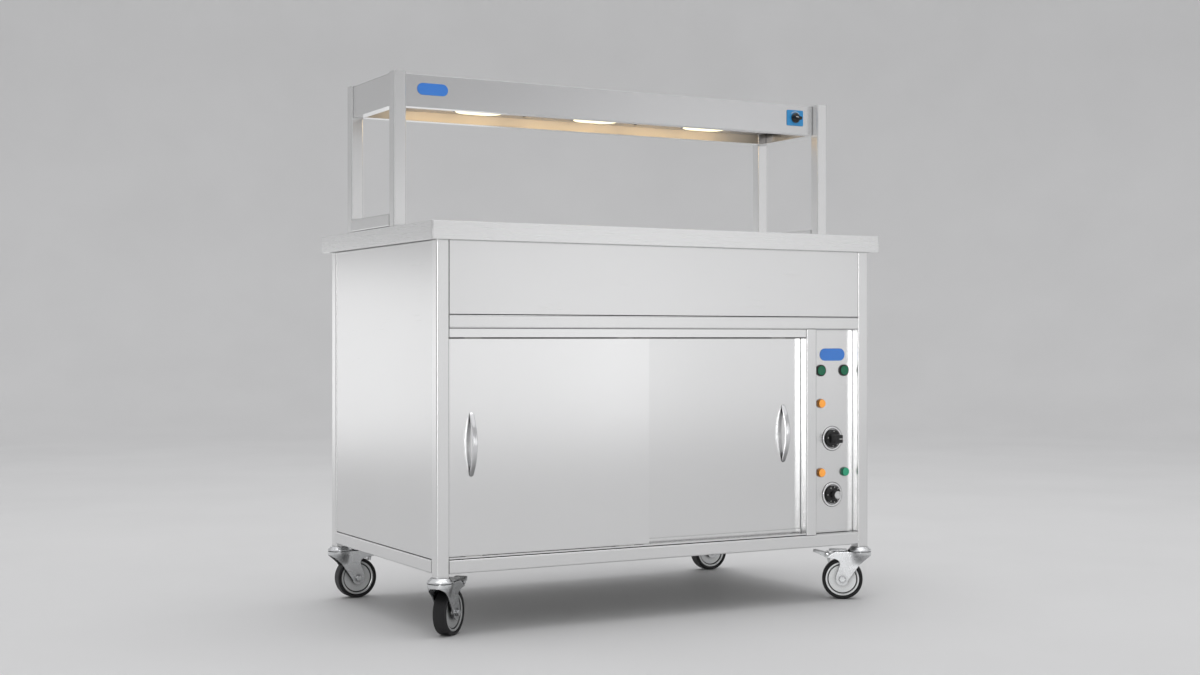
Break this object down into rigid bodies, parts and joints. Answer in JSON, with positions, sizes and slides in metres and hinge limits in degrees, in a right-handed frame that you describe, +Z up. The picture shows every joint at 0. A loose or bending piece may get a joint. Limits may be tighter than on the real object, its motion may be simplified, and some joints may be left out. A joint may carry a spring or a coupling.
{
  "type": "mobile heated serving counter with food holding cabinet",
  "caption": "Stainless hot cupboard on swivel castors, with sliding doors, a control panel and a heat-lamp gantry over its worktop.",
  "frame": {"origin": "centre of the footprint, on the floor under the wheels", "axes": "+X to the user's right along the worktop, +Y to the rear, +Z up; the doors and controls face -Y"},
  "size_m": [1.2, 0.7, 1.25],
  "materials": {
    "worktop": "fine brushed stainless sheet, satin",
    "frame_tube": "brushed stainless tube, grain along the tube",
    "outer_sheet": "fine satin stainless sheet",
    "door_sheet": "semi-gloss satin stainless sheet",
    "liner_sheet": "mill-finish stainless sheet",
    "track": "folded stainless strip",
    "element_sheath": "heat-tinted steel sheath",
    "black_plastic": "moulded black plastic",
    "black_knob": "moulded black plastic with a white index mark",
    "amber_lens": "translucent amber lens, lit",
    "green_lens": "translucent green lens, lit",
    "green_button": "translucent green push-button cap",
    "dial_metal": "satin aluminium dial ring",
    "blue_badge": "plain blue pill-shaped badge",
    "blue_plate": "plain blue switch plate",
    "lamp_metal": "bright spun reflector",
    "lamp_glass": "clear heat-proof glass, warm lit",
    "lamp_quartz": "quartz heat lamp, lit",
    "zinc": "bright zinc-plated pressed steel",
    "wheel_hub": "satin light grey metal wheel disc",
    "tyre_rubber": "black rubber tread",
    "handle_chrome": "satin chrome bow handle",
    "nylon": "white nylon glide"
  },
  "bodies": {
    "cabinet": {"worktop": "worktop", "corner_posts": "frame_tube", "frame_rails": "frame_tube", "mullion": "frame_tube", "front_fascia": "outer_sheet", "left_side_panel": "outer_sheet", "right_side_panel": "outer_sheet", "rear_panel": "outer_sheet", "cupboard_floor": "liner_sheet", "cupboard_liner": "liner_sheet", "door_top_track": "track", "door_bottom_track": "track", "middle_shelf": "liner_sheet", "heating_element": "element_sheath", "element_guard": "liner_sheet", "control_panel": "outer_sheet", "control_blocks": "black_plastic", "amber_pilots": "amber_lens", "green_pilot": "green_lens", "dial_rings": "dial_metal", "badges": "blue_badge", "gantry_posts": "frame_tube", "gantry_foot_rails": "frame_tube", "canopy_shell": "outer_sheet", "canopy_end_panels": "outer_sheet", "reflector_plate": "liner_sheet", "lamp_housings": "lamp_metal", "lamp_lenses": "lamp_glass", "lamp_tubes": "lamp_quartz", "switch_plate": "blue_plate", "castor_bearings": "zinc", "cable_gland": "black_plastic", "screws": "zinc"},
    "left_door": {"left_door_panel": "door_sheet", "left_door_handle": "handle_chrome", "left_door_glides": "nylon"},
    "right_door": {"right_door_panel": "door_sheet", "right_door_handle": "handle_chrome", "right_door_glides": "nylon"},
    "left_push_button": {"left_button": "green_button"},
    "right_push_button": {"right_button": "green_button"},
    "upper_rotary": {"upper_knob": "black_knob"},
    "lower_rotary": {"lower_knob": "black_knob"},
    "gantry_rotary": {"gantry_knob": "black_knob"},
    "front_left_castor": {"front_left_fork": "zinc"},
    "front_left_wheel": {"front_left_hub": "wheel_hub", "front_left_tyre": "tyre_rubber"},
    "front_left_brake": {"front_left_pedal": "zinc"},
    "front_right_castor": {"front_right_fork": "zinc"},
    "front_right_wheel": {"front_right_hub": "wheel_hub", "front_right_tyre": "tyre_rubber"},
    "front_right_brake": {"front_right_pedal": "zinc"},
    "rear_left_castor": {"rear_left_fork": "zinc"},
    "rear_left_wheel": {"rear_left_hub": "wheel_hub", "rear_left_tyre": "tyre_rubber"},
    "rear_left_brake": {"rear_left_pedal": "zinc"},
    "rear_right_castor": {"rear_right_fork": "zinc"},
    "rear_right_wheel": {"rear_right_hub": "wheel_hub", "rear_right_tyre": "tyre_rubber"},
    "rear_right_brake": {"rear_right_pedal": "zinc"}
  },
  "joints": [
    {"name": "left_door_slide", "type": "slide", "parent": "cabinet", "child": "left_door", "axis": [1, 0, 0], "range_m": [0, 0.375]},
    {"name": "right_door_slide", "type": "slide", "parent": "cabinet", "child": "right_door", "axis": [1, 0, 0], "range_m": [-0.375, 0]},
    {"name": "left_button_press", "type": "slide", "parent": "cabinet", "child": "left_push_button", "axis": [0, 1, 0], "range_m": [0, 0.0025], "stiffness_N_per_m": 600, "springref_m": -0.003},
    {"name": "right_button_press", "type": "slide", "parent": "cabinet", "child": "right_push_button", "axis": [0, 1, 0], "range_m": [0, 0.0025], "stiffness_N_per_m": 600, "springref_m": -0.003},
    {"name": "upper_knob_turn", "type": "hinge", "parent": "cabinet", "child": "upper_rotary", "pos_m": [0.487, -0.33, 0.4], "axis": [0, 1, 0], "range_deg": [0, 270]},
    {"name": "lower_knob_turn", "type": "hinge", "parent": "cabinet", "child": "lower_rotary", "pos_m": [0.487, -0.33, 0.262], "axis": [0, 1, 0], "range_deg": [0, 270]},
    {"name": "gantry_knob_turn", "type": "hinge", "parent": "cabinet", "child": "gantry_rotary", "pos_m": [0.5145, -0.125, 1.215], "axis": [0, 1, 0], "range_deg": [0, 270]},
    {"name": "front_left_swivel", "type": "hinge", "parent": "cabinet", "child": "front_left_castor", "pos_m": [-0.565, -0.315, 0.118], "axis": [0, 0, 1], "continuous": true},
    {"name": "front_left_wheel_spin", "type": "hinge", "parent": "front_left_castor", "child": "front_left_wheel", "pos_m": [-0.5333, -0.28745, 0.05], "axis": [-0.6561, 0.7547, 0], "continuous": true},
    {"name": "front_left_brake_pedal", "type": "hinge", "parent": "front_left_castor", "child": "front_left_brake", "pos_m": [-0.50538, -0.26317, 0.111], "axis": [-0.6561, 0.7547, 0], "range_deg": [0, 18]},
    {"name": "front_right_swivel", "type": "hinge", "parent": "cabinet", "child": "front_right_castor", "pos_m": [0.565, -0.315, 0.118], "axis": [0, 0, 1], "continuous": true},
    {"name": "front_right_wheel_spin", "type": "hinge", "parent": "front_right_castor", "child": "front_right_wheel", "pos_m": [0.53146, -0.28972, 0.05], "axis": [-0.6018, -0.7986, 0], "continuous": true},
    {"name": "front_right_brake_pedal", "type": "hinge", "parent": "front_right_castor", "child": "front_right_brake", "pos_m": [0.50191, -0.26746, 0.111], "axis": [-0.6018, -0.7986, 0], "range_deg": [0, 18]},
    {"name": "rear_left_swivel", "type": "hinge", "parent": "cabinet", "child": "rear_left_castor", "pos_m": [-0.565, 0.315, 0.118], "axis": [0, 0, 1], "continuous": true},
    {"name": "rear_left_wheel_spin", "type": "hinge", "parent": "rear_left_castor", "child": "rear_left_wheel", "pos_m": [-0.523, 0.315, 0.05], "axis": [0, 1, 0], "continuous": true},
    {"name": "rear_left_brake_pedal", "type": "hinge", "parent": "rear_left_castor", "child": "rear_left_brake", "pos_m": [-0.486, 0.315, 0.111], "axis": [0, 1, 0], "range_deg": [0, 18]},
    {"name": "rear_right_swivel", "type": "hinge", "parent": "cabinet", "child": "rear_right_castor", "pos_m": [0.565, 0.315, 0.118], "axis": [0, 0, 1], "continuous": true},
    {"name": "rear_right_wheel_spin", "type": "hinge", "parent": "rear_right_castor", "child": "rear_right_wheel", "pos_m": [0.523, 0.315, 0.05], "axis": [0, -1, 0], "continuous": true},
    {"name": "rear_right_brake_pedal", "type": "hinge", "parent": "rear_right_castor", "child": "rear_right_brake", "pos_m": [0.486, 0.315, 0.111], "axis": [0, -1, 0], "range_deg": [0, 18]}
  ]
}
